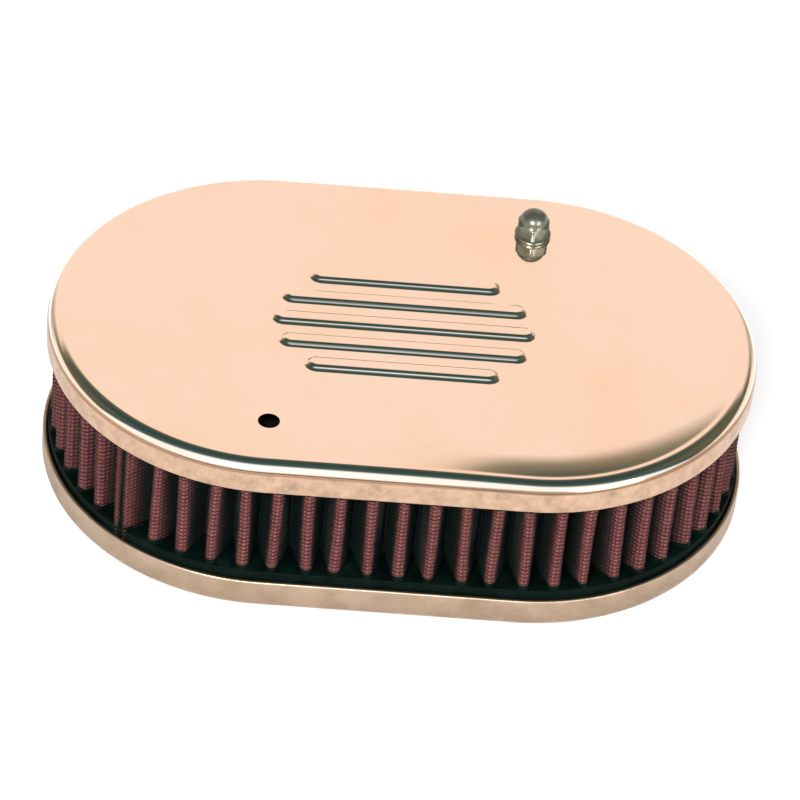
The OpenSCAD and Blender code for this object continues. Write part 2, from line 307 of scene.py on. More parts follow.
def drill(piece, places, radius, low, high, sides=64):
    """Cuts round holes straight through a piece, in millimetres."""
    turn = np.linspace(0, 2 * math.pi, sides, endpoint=False)
    for x, y in places:
        ring = np.stack([x + radius * np.cos(turn), y + radius * np.sin(turn)], 1)
        levels = [np.column_stack([ring, np.full(sides, z)]) for z in (low, high)]
        faces = grid_faces(2, sides, False, True).tolist()
        faces += [list(range(sides))[::-1], list(range(sides, 2 * sides))]
        mesh = bpy.data.meshes.new("cutter")
        mesh.from_pydata((np.concatenate(levels) * MM).tolist(), [], faces)
        cutter = bpy.data.objects.new("cutter", mesh)
        bpy.context.collection.objects.link(cutter)
        cut = piece.modifiers.new("hole", "BOOLEAN")
        cut.operation, cut.solver, cut.object = "DIFFERENCE", "EXACT", cutter
        drilled = bpy.data.meshes.new_from_object(
            piece.evaluated_get(bpy.context.evaluated_depsgraph_get()))
        piece.modifiers.clear()
        piece.data = drilled
        bpy.data.objects.remove(cutter)
    piece.data.set_sharp_from_angle(angle=math.radians(40))


def edge_droop(points):
    """How far the pressing droops towards its edge at the right of the front: with the square
    of the way across the outer band of the flat top, and level again just inside the bend. It
    fades out down the skirt."""
    x, y, z = points[..., 0], points[..., 1], points[..., 2]
    out = np.hypot(x - np.clip(x, -straight_half, straight_half), y)
    place = 1 / (1 + np.exp((droop_x - x) / droop_fade_x)) / (1 + np.exp((y - droop_y) / droop_fade_y))
    reach_down = np.clip((z - cover_edge_z) / (cover_top - cover_t - cover_edge_z), 0, 1)
    way = np.clip((out - flat_r + droop_level + droop_w) / droop_w, 0, 1)
    return droop_most * place * way * way * reach_down


droop_most, droop_w, droop_level = 0.46, 9.0, 0.9
droop_x, droop_y, droop_fade_x, droop_fade_y = 20, -24, 7, 6
# The rings of points lie close over the ribs and over the band that droops
ribs_end, plain_start, plain_end = 22.8, 24, flat_r - 10
band_start, band_end = flat_r - 9.5, flat_r - 0.05
top_radii = np.concatenate([
    np.linspace(0, ribs_end, 58), np.linspace(plain_start, plain_end, 8),
    np.linspace(band_start, band_end, 30)])
under_radii = np.concatenate([np.linspace(band_end, plain_start, 14), np.linspace(ribs_end, 0, 40)])
cover_profile = np.concatenate([
    np.stack([top_radii, np.full(len(top_radii), cover_top)], 1),
    arc(flat_r, bend_z, cover_bend_r, 90, 0, 18),
    sheet_edge(plate_r, cover_edge_z, cover_t, cover_edge_r, downwards=True),
    arc(flat_r, bend_z, cover_bend_r - cover_t, 0, 90, 8),
    np.stack([under_radii, np.full(len(under_radii), cover_top - cover_t)], 1),
])
cover_stations = oval_stations(126, 96)
cover_points = round_oval(cover_profile, cover_stations)
upper_face, under_face = slice(0, len(top_radii)), slice(-len(under_radii), None)
for face, width in ((upper_face, rib_w), (under_face, rib_w - cover_t)):
    cover_points[:, face, 2] += rib_height(
        cover_points[:, face, 0], cover_points[:, face, 1], width)
cover_points[..., 2] -= edge_droop(cover_points)
cover = make_piece(
    "pressed_cover", cover_points, grid_faces(*cover_points.shape[:2]).tolist(), cover_steel,
    merge=True)
drill(cover, screw_places, screw_hole_r, cover_top - 3, cover_top + 3)
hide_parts("cover")

# Base plate
# One steel pressing with an upturned rim, as wide as the cover. Two air throats are drawn up
# in it and their lips rolled outwards, four holes take the carburetor's studs, and two
# dimples seat the countersunk heads of the cover screws.
lower_low, lower_high = box_mm("lower_seal")
base_t = lower_low[2]
base_rim_z = 8.7
base_bend_r, base_edge_r = 3.1, 0.55
mounts = {m["name"]: m for m in frame["record"]["mounts"]}
throat_places = [[c / MM for c in mounts[n]["pos_m"][:2]] for n in ("left_throat", "right_throat")]
throat_r = mounts["left_throat"]["dims"]["r_mm"]
stud_dims = mounts["carburetor_studs"]["dims"]
stud_hole_r = stud_dims["hole_r_mm"]
stud_places = [(i * stud_dims["spacing_x_mm"] / 2, j * stud_dims["spacing_y_mm"] / 2)
               for i in (-1, 1) for j in (-1, 1)]
collar_h, lip_r, throat_bend = 6.2, 1.4, 0.6
seat_r, dimple_top = 4.6, 2.74
dimple_lip, dimple_edge_r, dimple_foot, dimple_foot_r = 0.5, 0.4, 0.35, 0.5
circle_steps = 72


def turned(profile, place):
    """A profile of radius and height turned round an upright axis."""
    angle = np.linspace(0, 2 * math.pi, circle_steps, endpoint=False)[:, None]
    radius, height = (c[None, :] for c in np.asarray(profile, float).T)
    return np.stack(np.broadcast_arrays(
        place[0] + radius * np.cos(angle), place[1] + radius * np.sin(angle), height), -1)


def holed_sheet(outline, holes, height):
    """A flat sheet inside an outline, less its round holes: every triangle between the given
    rings of points, apart from those whose middle lies in a hole."""
    rings = [outline] + [turned([(r, height)], p)[:, 0, :2] for p, r in holes]
    edges, start = [], 0
    for ring in rings:
        count = np.arange(len(ring))
        edges += np.stack([start + count, start + (count + 1) % len(ring)], 1).tolist()
        start += len(ring)
    points, _, triangles, *_ = delaunay_2d_cdt(
        [Vector(p) for p in np.concatenate(rings).tolist()], edges, [], 1, 1e-6)
    points = np.array([(p.x, p.y, height) for p in points])
    triangles = np.array(triangles)
    middle = points[triangles].mean(1)
    inside = np.zeros(len(triangles), bool)
    for (x, y), r in holes:
        inside |= np.hypot(middle[:, 0] - x, middle[:, 1] - y) < r * 0.999
    return points, triangles[~inside]


rim_profile = np.concatenate([
    arc(plate_r - base_bend_r, base_bend_r, base_bend_r, -90, 0, 14),
    sheet_edge(plate_r, base_rim_z, base_t, base_edge_r, downwards=False),
    arc(plate_r - base_bend_r, base_bend_r, base_bend_r - base_t, 0, -90, 8),
])
base_stations = oval_stations(24, 96)
throat_profile = np.concatenate([
    arc(throat_r + throat_bend, throat_bend, throat_bend, -90, -180, 5),
    arc(throat_r + lip_r, collar_h - lip_r, lip_r, 180, 0, 14),
    arc(throat_r + lip_r, collar_h - lip_r, lip_r - base_t, 0, 180, 6),
    arc(throat_r + base_t + throat_bend, base_t + throat_bend, throat_bend, 180, 270, 5),
])
dimple_profile = np.concatenate([
    [(seat_r, 0), (screw_hole_r, seat_r - screw_hole_r), (screw_hole_r, dimple_top)],
    arc(screw_hole_r + dimple_lip, dimple_top - dimple_edge_r, dimple_edge_r, 90, 45, 3),
    arc(seat_r + base_t + dimple_foot, base_t + dimple_foot_r, dimple_foot_r, 225, 270, 3),
])
stud_profile = [(stud_hole_r, 0), (stud_hole_r, base_t)]
base_surfaces = [(throat_profile, p) for p in throat_places]
base_surfaces += [(dimple_profile, p) for p in screw_places]
base_surfaces += [(stud_profile, p) for p in stud_places]

floor_outline = round_oval([(plate_r - base_bend_r, 0)], base_stations)[:, 0, :2]
parts = [(round_oval(rim_profile, base_stations), None)]
parts += [(turned(profile, p), None) for profile, p in base_surfaces]
for end, level in ((0, 0.0), (-1, base_t)):
    parts.append(holed_sheet(floor_outline, [(p, prof[end][0]) for prof, p in base_surfaces], level))
base_points, base_faces, start = [], [], 0
for points, faces in parts:
    if faces is None:
        faces = grid_faces(*points.shape[:2])
    base_points.append(np.reshape(points, (-1, 3)))
    base_faces += (faces + start).tolist()
    start += len(base_points[-1])

base_steel, tree, shader, place = new_material("plated_base", Metallic=1.0)
use_handled_metal(
    tree, shader, place, bump=0.05, Clean=(0.46, 0.34, 0.25, 1), Tarnish=(0.3, 0.22, 0.14, 1),
    Amount=0.75, Cloud_Scale=90, Grain_Scale=700, Gloss=0.3, Blur=0.12)
base = make_piece(
    "pressed_base", np.concatenate(base_points), base_faces, base_steel,
    merge=True, recalculate=True)
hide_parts("base_plate")

# Pleated strip
# One strip of cotton gauze between two wire cloths, folded into deep pleats and bent round
# the oval. Its ends stand side by side at the front left, with adhesive between them. Every
# layer is the same folded line, moved square to itself.
seal_skin, seal_gap = 0.4, 0.25
seal_w = 11.8
seal_out = plate_r - base_t - seal_gap
seal_in = seal_out - seal_w
gauze_t, screen_t, fold_r = 0.8, 0.3, 0.15
strip_half = gauze_t / 2 + screen_t
fold_mid = fold_r + strip_half
tip_r = seal_out - seal_skin - fold_mid - strip_half
root_r = seal_in + seal_skin + fold_mid + strip_half
pleat_count = 60
seam_place, seam_room, bead_t = -68.5, 3.0, 1.4
fold_wander, golden_angle = 0.25, 137.5
pleat_mid_z, pleat_half_h = 24, 14
lean_most, lean_wave_x, lean_wave_y = 0.32, 0.47, 0.31
bow_most, bow_wave_x, bow_wave_y, bow_start = 0.2, 0.29, -0.53, 1.3
round_length = 4 * straight_half + 2 * math.pi * tip_r
pleat_pitch = (round_length - seam_room) / pleat_count


def oval_point(way, radius):
    """The point of the oval at a way along it, counter-clockwise from the middle of the
    front, and at a radius outwards from the middle line."""
    end = math.pi * tip_r
    way = (way + straight_half) % round_length
    side = way // (2 * straight_half + end)
    way = way - side * (2 * straight_half + end)
    foot = np.minimum(way, 2 * straight_half) - straight_half
    angle = np.maximum(way - 2 * straight_half, 0) / tip_r - math.pi / 2
    sign = 1 - 2 * side
    return np.stack([sign * (foot + radius * np.cos(angle)), sign * radius * np.sin(angle)], -1)


def heading(step):
    """The angle of a step in the level plane."""
    return np.arctan2(step[..., 1], step[..., 0])


def folded_line(offset, tip_steps=8, root_steps=5, flank_steps=2, turn_ends=False):
    """The folded strip's line, moved square to itself by an offset: round each fold it is an
    arc about the fold's centre, and between two folds it is their common inner tangent.
    Returns its points and its directions square to the strip, pointing out of it."""
    k = np.arange(pleat_count)
    wander = fold_wander * np.sin(np.radians(k * golden_angle))
    way = seam_place + seam_room / 2 + k * pleat_pitch
    tips = oval_point(way[1:] + wander[1:], tip_r)
    roots = oval_point(way + pleat_pitch / 2 + wander / 2, root_r)
    shift = (bead_t / 2 + strip_half) * np.array([1, -1])
    ends = oval_point(seam_place + shift, tip_r + fold_mid + strip_half)

    def square_to(start, stop, touch, sign):
        """The angle square to a flank: the heading from centre to centre, turned by the angle
        whose cosine is the fold radii that the flank touches over the way between them."""
        step = stop - start
        return heading(step) + sign * np.arccos(touch * fold_mid / np.hypot(*step.T))

    inwards = np.concatenate([
        [square_to(ends[0], roots[0], 1, -1)], square_to(tips, roots[1:], 2, -1)])
    outwards = np.concatenate([
        square_to(roots[:-1], tips, 2, 1), [square_to(roots[-1], ends[1], 1, 1)]])

    def fold(centres, start, stop, way_round, radius, steps):
        """Arcs about the folds' centres, and the directions out of the strip on them."""
        sweep = way_round * ((way_round * (stop - start)) % (2 * math.pi))
        angle = start[:, None] + sweep[:, None] * np.linspace(0, 1, steps + 1)
        direction = np.stack([np.cos(angle), np.sin(angle)], -1)
        return centres[:, None] + radius * direction, way_round * direction

    root_points, root_normals = fold(
        roots, inwards + math.pi, outwards, -1, fold_mid - offset, root_steps)
    tip_points, tip_normals = fold(
        tips, outwards[:-1] + math.pi, inwards[1:], 1, fold_mid + offset, tip_steps)

    def end_turn(centre, start, stop):
        """An arc about the strip's end, which joins its two faces."""
        angle = np.linspace(start, stop, 6)
        direction = np.stack([np.cos(angle), np.sin(angle)], -1)
        return centre + offset * direction, direction

    first = end_turn(ends[0], inwards[0] - (math.pi if turn_ends else 0), inwards[0])
    last = end_turn(ends[1], outwards[-1] + math.pi, outwards[-1] + (2 * math.pi if turn_ends else math.pi))
    if not turn_ends:
        first, last = [a[:1] for a in first], [a[-1:] for a in last]
    points, normals = [first[0]], [first[1]]
    for i in range(pleat_count):
        points.append(root_points[i])
        normals.append(root_normals[i])
        if i < pleat_count - 1:
            points.append(tip_points[i])
            normals.append(tip_normals[i])
    points.append(last[0])
    normals.append(last[1])
    dense_points, dense_normals = [points[0]], [normals[0]]
    between = np.linspace(0, 1, flank_steps + 1)[1:-1, None]
    for i in range(1, len(points)):
        start, stop = dense_points[-1][-1], points[i][0]
        dense_points += [start + (stop - start) * between, points[i]]
        dense_normals += [np.repeat(normals[i][:1], len(between), 0), normals[i]]
    return np.concatenate(dense_points), np.concatenate(dense_normals)


def hand_fold(points):
    """Moves points a little round the oval, by slow waves of place and height, the way that
    hand folding leaves the pleats leaning and bowed."""
    x, y, z = points[..., 0], points[..., 1], points[..., 2]
    foot = np.clip(x, -straight_half, straight_half)
    outwards = np.stack([x - foot, y], -1)
    outwards /= np.maximum(np.hypot(outwards[..., 0], outwards[..., 1]), 1)[..., None]
    up = (z - pleat_mid_z) / pleat_half_h
    lean = lean_most * np.sin(lean_wave_x * x + lean_wave_y * y) * up
    bow = bow_most * np.sin(bow_wave_x * x + bow_wave_y * y + bow_start) * (1 - up * up)
    moved = points.copy()
    moved[..., 0] -= outwards[..., 1] * (lean + bow)
    moved[..., 1] += outwards[..., 0] * (lean + bow)
    return moved


gauze_low, gauze_high = box_mm("cotton_gauze")
pleat_low, pleat_high = gauze_low[2], gauze_high[2]


def line_length(line):
    """The way along a line of points, from 0 at its start."""
    return np.concatenate([[0], np.cumsum(np.hypot(*np.diff(line, axis=0).T))])


outer_line, outer_normals = folded_line(gauze_t / 2)
inner_line = outer_line - outer_normals * gauze_t
levels = np.linspace(pleat_low, pleat_high, 13)
gauze_loop = [(outer_line, z) for z in levels] + [(inner_line, z) for z in levels[::-1]]
gauze_points = np.stack([np.column_stack([line, np.full(len(line), z)]) for line, z in gauze_loop], 1)
gauze_points = hand_fold(gauze_points)
rows, columns = gauze_points.shape[:2]
gauze_faces = grid_faces(rows, columns, False, True)[:, ::-1].tolist()
gauze_faces += [list(range(columns)), list(range((rows - 1) * columns, rows * columns))[::-1]]

# Depth in the folds: 1 on the outer folds and 0 on the inner ones, by the distance from the
# oval's middle line. It paints shade: the flanks are painted far darker than the tips.
fold_shade, given, result = new_group(
    "fold_shade", {"Vector": "Vector", "Tip": "Float", "Depth": "Float"}, {"Open": "Float"})
spot = add_node(fold_shade, "SeparateXYZ", {"Vector": given["Vector"]}).outputs
along = add_node(fold_shade, "Math", {0: spot["X"]}, operation="ABSOLUTE").outputs[0]
past = add_node(fold_shade, "Math", {0: along, 1: straight_half * MM}, operation="SUBTRACT").outputs[0]
past = add_node(fold_shade, "Math", {0: past, 1: 0.0}, operation="MAXIMUM").outputs[0]
flat = add_node(fold_shade, "CombineXYZ", {"X": past, "Y": spot["Y"]}).outputs[0]
out = add_node(fold_shade, "VectorMath", {0: flat}, operation="LENGTH").outputs["Value"]
inner = add_node(fold_shade, "Math", {0: given["Tip"], 1: given["Depth"]}, operation="SUBTRACT").outputs[0]
shade = add_node(fold_shade, "MapRange", {
    "Value": out, "From Min": inner, "From Max": given["Tip"]}, interpolation_type="SMOOTHSTEP")
fold_shade.links.new(shade.outputs[0], result["Open"])


def use_fold_shade(tree, vector, tip, depth):
    """Places the fold shade in a material, for a tip radius and a depth in millimetres."""
    node = tree.nodes.new("ShaderNodeGroup")
    node.node_tree = fold_shade
    tree.links.new(vector, node.inputs["Vector"])
    node.inputs["Tip"].default_value = tip * MM
    node.inputs["Depth"].default_value = depth * MM
    return node.outputs["Open"]


# Oiled cotton: red-brown cloth that swells a little between the wires
wire_pitch, wire_r, wire_lowest = 1.2, 0.14, pleat_low + 3
gauze_cloth, tree, shader, place = new_material("oiled_gauze", Roughness=0.7)
shader.inputs["Specular IOR Level"].default_value = 0.25
strip_map = add_node(tree, "UVMap", uv_map="strip").outputs["UV"]
level_phase = add_node(tree, "VectorMath", {
    0: strip_map, 1: (wire_pitch / 2, wire_lowest, 0)}, operation="SUBTRACT").outputs[0]
turns = add_node(tree, "VectorMath", {
    0: level_phase, 1: (math.pi / wire_pitch, math.pi / wire_pitch, 0)}, operation="MULTIPLY").outputs[0]
swell = add_node(tree, "VectorMath", {0: turns}, operation="SINE").outputs[0]
swell = add_node(tree, "VectorMath", {0: swell}, operation="ABSOLUTE").outputs[0]
swell = add_node(tree, "SeparateXYZ", {"Vector": swell}).outputs
pillow = add_node(tree, "Math", {0: swell["X"], 1: swell["Y"]}, operation="MULTIPLY").outputs[0]
fibre = add_node(tree, "TexNoise", {"Vector": strip_map, "Scale": 3.2, "Detail": 4, "Roughness": 0.7})
cloth = add_node(tree, "Math", {0: fibre.outputs["Fac"], 1: 0.5, 2: pillow}, operation="MULTIPLY_ADD")
cloth_colour = add_ramp(tree, cloth.outputs[0], [
    (0.25, (0.075, 0.018, 0.018)), (0.65, (0.17, 0.043, 0.042)), (1.0, (0.27, 0.078, 0.072))])
oil = add_node(tree, "TexNoise", {"Vector": strip_map, "Scale": 0.35, "Detail": 5})
oil_mask = add_ramp(tree, oil.outputs["Fac"], [(0.4, grey(0)), (0.8, grey(0.7))])
oiled = mix_colours(tree, oil_mask, cloth_colour, (0.13, 0.022, 0.022, 1))
# Painted shade: deep in the folds the cloth is painted nearly black.
painted_shade_mask = use_fold_shade(tree, place, tip_r + 0.6, 4.6)
shaded = mix_colours(tree, painted_shade_mask, (0.014, 0.005, 0.005, 1), oiled)
tree.links.new(shaded, shader.inputs["Base Color"])
relief = add_node(tree, "Bump", {"Strength": 0.8, "Distance": 0.0003, "Height": cloth.outputs[0]})
tree.links.new(relief.outputs["Normal"], shader.inputs["Normal"])

gauze = make_piece("pleated_gauze", gauze_points, gauze_faces, gauze_cloth, sharp=60)
way_along = np.repeat(line_length(outer_line)[:, None], columns, 1)
strip_uv = np.stack([way_along, gauze_points[..., 2]], -1).reshape(-1, 2)
corner_points = np.empty(len(gauze.data.loops), int)
gauze.data.loops.foreach_get("vertex_index", corner_points)
gauze.data.uv_layers.new(name="strip").data.foreach_set("uv", strip_uv[corner_points].ravel())
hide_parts("cotton_gauze")

# Wire cloths
# Square wire cloth lies on both faces of the gauze and is folded with it. The level wires
# run outside the upright ones, and all have a dark coat that the oil reddens.
upright_r, upright_sink, upright_end = wire_r * 0.9, 2.2, 0.4
wire_highest = pleat_high - 2.2


def wires(centres, normals, radius):
    """Separate round wires, each four-sided: corners lie at the radius from the wire's line,
    along the direction square to the cloth and along the third direction."""
    step = np.gradient(centres, axis=1)
    step /= np.linalg.norm(step, axis=-1, keepdims=True)
    across = np.cross(step, normals)
    corners = [centres + radius * d for d in (normals, across, -normals, -across)]
    points = np.stack(corners, 2)
    count, along = points.shape[:2]
    one = grid_faces(along, 4, False, True)
    caps = np.array([[3, 2, 1, 0], np.arange(4 * along - 4, 4 * along)])
    one = np.concatenate([one, caps])
    faces = one[None] + (np.arange(count) * along * 4)[:, None, None]
    return points.reshape(-1, 3), faces.reshape(-1, 4)


def wire_cloth(side, heights):
    """Level and upright wires on one face of the gauze; side is 1 outside and -1 inside."""
    outer, inner = (side * (gauze_t / 2 + screen_t - wire_r * k) for k in (1, upright_sink))
    line, normals = folded_line(outer, 6, 3, 1, turn_ends=side > 0)
    shape = (len(heights), len(line), 1)
    level = np.concatenate([np.broadcast_to(line, shape[:2] + (2,)),
                            np.broadcast_to(heights[:, None, None], shape)], -1)
    flat = np.concatenate([normals, np.zeros((len(line), 1))], -1)
    level = wires(hand_fold(level), np.broadcast_to(flat, level.shape), wire_r)
    line, normals = folded_line(inner)
    way = line_length(outer_line)
    stops = np.arange(wire_pitch / 2, way[-1], wire_pitch)
    x, y, nx, ny = (np.interp(stops, way, c) for c in (*line.T, *normals.T))
    tall = np.linspace(heights[0] - upright_end, heights[-1] + upright_end, 6)
    upright = np.stack(np.broadcast_arrays(x[:, None], y[:, None], tall[None]), -1)
    square = np.stack(np.broadcast_arrays(nx[:, None], ny[:, None], 0 * tall[None]), -1)
    upright = wires(hand_fold(upright), square, upright_r)
    return (np.concatenate([level[0], upright[0]]),
            np.concatenate([level[1], upright[1] + len(level[0])]).tolist())


wire_metal, tree, shader, place = new_material("coated_wire", Roughness=0.45)
tint = add_node(tree, "TexNoise", {"Vector": place, "Scale": 420, "Detail": 3})
wire_colour = add_ramp(tree, tint.outputs["Fac"], [
    (0.3, (0.035, 0.015, 0.014)), (0.55, (0.08, 0.034, 0.031)), (0.8, (0.14, 0.062, 0.056))])
# Painted shade: deep in the folds the wires are painted blue-black.
painted_shade_mask = use_fold_shade(tree, place, tip_r + 0.9, 2.0)
tree.links.new(
    mix_colours(tree, painted_shade_mask, (0.004, 0.014, 0.012, 1), wire_colour), shader.inputs["Base Color"])
shader.inputs["Specular IOR Level"].default_value = 0.25
for name, node, side in (("outer_wire_cloth", "outer_screen", 1), ("inner_wire_cloth", "inner_screen", -1)):
    points, faces = wire_cloth(side, np.arange(wire_lowest, wire_highest, wire_pitch))
    cloth = make_piece(name, points, faces, wire_metal, sharp=100)
    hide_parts(node)

# End seals and seam bead
# Black polyurethane, cast in a mould round each end of the strip: a flat ring that nests in
# the plate, with a thin uneven skin that crept up the pleats before it set.
seal_edge_r = 0.3
seated_edge_r = cover_bend_r - cover_t
skin_h, skin_root, skin_spread, skin_lap, skin_bite = 0.4, 0.6, 0.22, 0.06, 0.25
rubber, tree, shader, place = new_material("cast_seal", Roughness=0.5)
shader.inputs["Specular IOR Level"].default_value = 0.04
bloom = add_node(tree, "TexNoise", {"Vector": place, "Scale": 160, "Detail": 6, "Roughness": 0.65})
seal_colour = add_ramp(tree, bloom.outputs["Fac"], [
    (0.4, (0.001, 0.004, 0.003)), (0.62, (0.002, 0.008, 0.006)), (0.85, (0.012, 0.026, 0.021))])
tree.links.new(seal_colour, shader.inputs["Base Color"])
seal_gloss = add_ramp(tree, bloom.outputs["Fac"], [(0.3, grey(0.35)), (0.7, grey(0.7))])
tree.links.new(seal_gloss, shader.inputs["Roughness"])
pores = add_node(tree, "TexNoise", {"Vector": place, "Scale": 1500, "Detail": 3})
relief = add_node(tree, "Bump", {"Strength": 0.3, "Distance": 0.0001, "Height": pores.outputs["Fac"]})
tree.links.new(relief.outputs["Normal"], shader.inputs["Normal"])


def seal_profile(seat_z, free_z):
    """Section of a seal from its seated face to its free face, closed on itself, with small
    rounded edges and a larger one that nests in the plate's bend."""
    up = 1 if free_z > seat_z else -1
    corners = [
        (seal_in + seal_edge_r, seat_z + up * seal_edge_r, seal_edge_r, 180, 3),
        (seal_out - seated_edge_r, seat_z + up * seated_edge_r, seated_edge_r, 270, 8),
        (seal_out - seal_edge_r, free_z - up * seal_edge_r, seal_edge_r, 0, 3),
        (seal_in + seal_edge_r, free_z - up * seal_edge_r, seal_edge_r, 90, 3),
    ]
    points = [arc(x, z, r, start * up, (start + 90) * up, steps) for x, z, r, start, steps in corners]
    return np.concatenate(points)[::up]


def crept_skin(free_z, up, climb):
    """The skin up the pleats: a closed section across the strip, carried along the folded
    line and taller on the outer folds by the climb, with an uneven upper edge."""
    line, normals = folded_line(0.0, 8, 4, 3)
    x, y = line.T
    foot = np.clip(x, -straight_half, straight_half)
    out = np.hypot(x - foot, y)
    tip = np.clip((out - tip_r + 0.5) / 1.2, 0, 1)
    rough = 0.16 * np.sin(2.3 * x + 1.7 * y) + 0.12 * np.sin(5.1 * x - 3.7 * y)
    height = skin_h + climb * tip + rough * (0.6 + 0.4 * tip)
    wide, lap, thin = strip_half + skin_spread, strip_half + skin_lap, strip_half - skin_bite
    section = [(wide, -skin_root), (wide, 0.25), (lap, 0.8), (thin, 1.0)]
    section += [(-d, h) for d, h in section[::-1]]
    points = [np.column_stack([line + normals * d, free_z + up * np.where(h > 0, h * height, h)])
              for d, h in section]
    return hand_fold(np.stack(points, 1))


seal_stations = oval_stations(48, 96)
for name, node, seat_z, free_z, climb in (
    ("cast_upper_seal", "upper_seal", upper_high[2], upper_low[2], 0.15),
    ("cast_lower_seal", "lower_seal", lower_low[2], lower_high[2], 0.8),
):
    ring = round_oval(seal_profile(seat_z, free_z), seal_stations)
    skin = crept_skin(free_z, 1 if free_z > seat_z else -1, climb)
    start, columns = ring.shape[0] * ring.shape[1], skin.shape[1]
    faces = grid_faces(*ring.shape[:2], columns_close=True).tolist()
    faces += (grid_faces(*skin.shape[:2], False, True) + start).tolist()
    points = np.concatenate([ring.reshape(-1, 3), skin.reshape(-1, 3)])
    faces += [list(range(start, start + columns)), list(range(len(points) - columns, len(points)))]
    seal = make_piece(name, points, faces, rubber, merge=True, recalculate=True)
    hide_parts(node)

# The bead is plain, so its CAD node stays and takes the same surface
bead = frame["nodes"]["seam_bead"]
bead.data.materials.clear()
bead.data.materials.append(rubber)

# Cover screw, lock washer and cap nut
# A countersunk screw comes up from the base plate's dimple, through the filter and the
# cover. A split washer and a low domed nut hold the cover down on it. All are nickel plated.
nut_low, nut_high = box_mm("cap_nut")
nut_seat = nut_low[2]
nut_flats, hex_h, nut_turn = 8.0, 3.5, 28
dome_foot, dome_h = 3.75, nut_high[2] - nut_low[2] - hex_h
foot_step, foot_rise, corner_blunt, chamfer_slope = 0.08, 0.1, 0.12, 0.8
bore_h, bore_play, bore_chamfer = 5.2, 0.05, 0.4
screw_r, head_r, thread_pitch, thread_depth = 2.45, 4.55, 0.8, 0.28
thread_start, thread_end, thread_step = 0.6, 0.5, 0.2
key_flats, key_depth, key_edge, head_edge, head_edge_h, neck = 3.0, 1.3, 0.15, 0.1, 0.08, 0.05
screw_end = box_mm("cover_screw")[1][2]
nickel, tree, shader, place = new_material("plated_nickel", Metallic=0.6)
use_handled_metal(
    tree, shader, place, bump=0.02, Clean=(0.18, 0.19, 0.15, 1), Tarnish=(0.11, 0.11, 0.075, 1),
    Amount=0.8, Cloud_Scale=450, Grain_Scale=2500, Gloss=0.13, Blur=0.1)


def hexagon(angle, flats, turn=0.0):
    """Radius of a hexagon at an angle: half its width over the cosine from the nearest flat."""
    from_flat = (angle - math.radians(turn)) % (math.pi / 3) - math.pi / 6
    return flats / 2 / np.cos(from_flat)


def lathe_rows(rows, steps, place):
    """Closed surface of rows, each a radius at every angle and a height, about a place."""
    angle = np.linspace(0, 2 * math.pi, steps, endpoint=False)
    radius = np.stack([np.broadcast_to(r(angle) if callable(r) else r, angle.shape) for r, _ in rows], 1)
    height = np.broadcast_to(np.array([z for _, z in rows], float), radius.shape)
    return np.stack([place[0] + radius * np.cos(angle)[:, None],
                     place[1] + radius * np.sin(angle)[:, None], height], -1)


def blunt_hex(limit):
    """A hexagon whose corners are blunted smoothly where they pass a round limit."""
    return lambda a: -corner_blunt * np.logaddexp(
        -hexagon(a, nut_flats, nut_turn) / corner_blunt, -limit / corner_blunt)


corner_r = nut_flats / 2 / math.cos(math.radians(30))
chamfer = corner_r - nut_flats / 2
hex_levels = [(0.0, chamfer * 0.6), (chamfer * 0.35, 0), (hex_h - chamfer, 0)]
dome_angles = np.radians(np.linspace(0, 90, 14))
nut_rows = [(0, nut_seat + bore_h), (screw_r + bore_play, nut_seat + bore_h),
            (screw_r + bore_play, nut_seat + bore_chamfer), (screw_r + bore_play + bore_chamfer, nut_seat)]
nut_rows += [(blunt_hex(corner_r - cut), nut_seat + z) for z, cut in hex_levels]
nut_rows += [(blunt_hex(corner_r - chamfer * s), nut_seat + hex_h - chamfer * (1 - s) * chamfer_slope)
             for s in (0.3, 0.6, 0.9, 1.15)]
nut_rows += [(dome_foot + foot_step, nut_seat + hex_h), (dome_foot, nut_seat + hex_h + foot_rise)]
nut_rows += [(dome_foot * math.cos(a), nut_seat + hex_h + dome_h * math.sin(a)) for a in dome_angles[1:-1]]
nut_rows += [(0, nut_seat + hex_h + dome_h)]
nut_points = lathe_rows(nut_rows, 96, screw_places[0])
cap_nut = make_piece(
    "domed_nut", nut_points, grid_faces(*nut_points.shape[:2])[:, ::-1].tolist(), nickel,
    merge=True, recalculate=True, sharp=28)
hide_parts("cap_nut")


def thread(z):
    """Radius of a thread at a height: a ridge that climbs one pitch in each turn."""
    def radius(angle):
        phase = (z / thread_pitch - angle / (2 * math.pi)) % 1
        return screw_r - thread_depth * (1 - abs(2 * phase - 1))
    return radius


screw_rows = [(0, key_depth)]
screw_rows += [(lambda a: hexagon(a, key_flats), z) for z in (key_depth, key_edge)]
screw_rows += [(lambda a: hexagon(a, key_flats + 2 * key_edge), 0.0), (head_r - head_edge, 0.0),
               (head_r, head_edge_h), (screw_r + neck, head_r - screw_r + neck)]
screw_rows += [(thread(z), z) for z in np.arange(
    head_r - screw_r + thread_start, screw_end - thread_end, thread_step)]
screw_rows += [(screw_r - thread_end, screw_end), (0, screw_end)]
screw_points = lathe_rows(screw_rows, 48, screw_places[0])
screw = make_piece(
    "countersunk_screw", screw_points, grid_faces(*screw_points.shape[:2]).tolist(), nickel,
    merge=True, recalculate=True, sharp=35)
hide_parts("cover_screw")

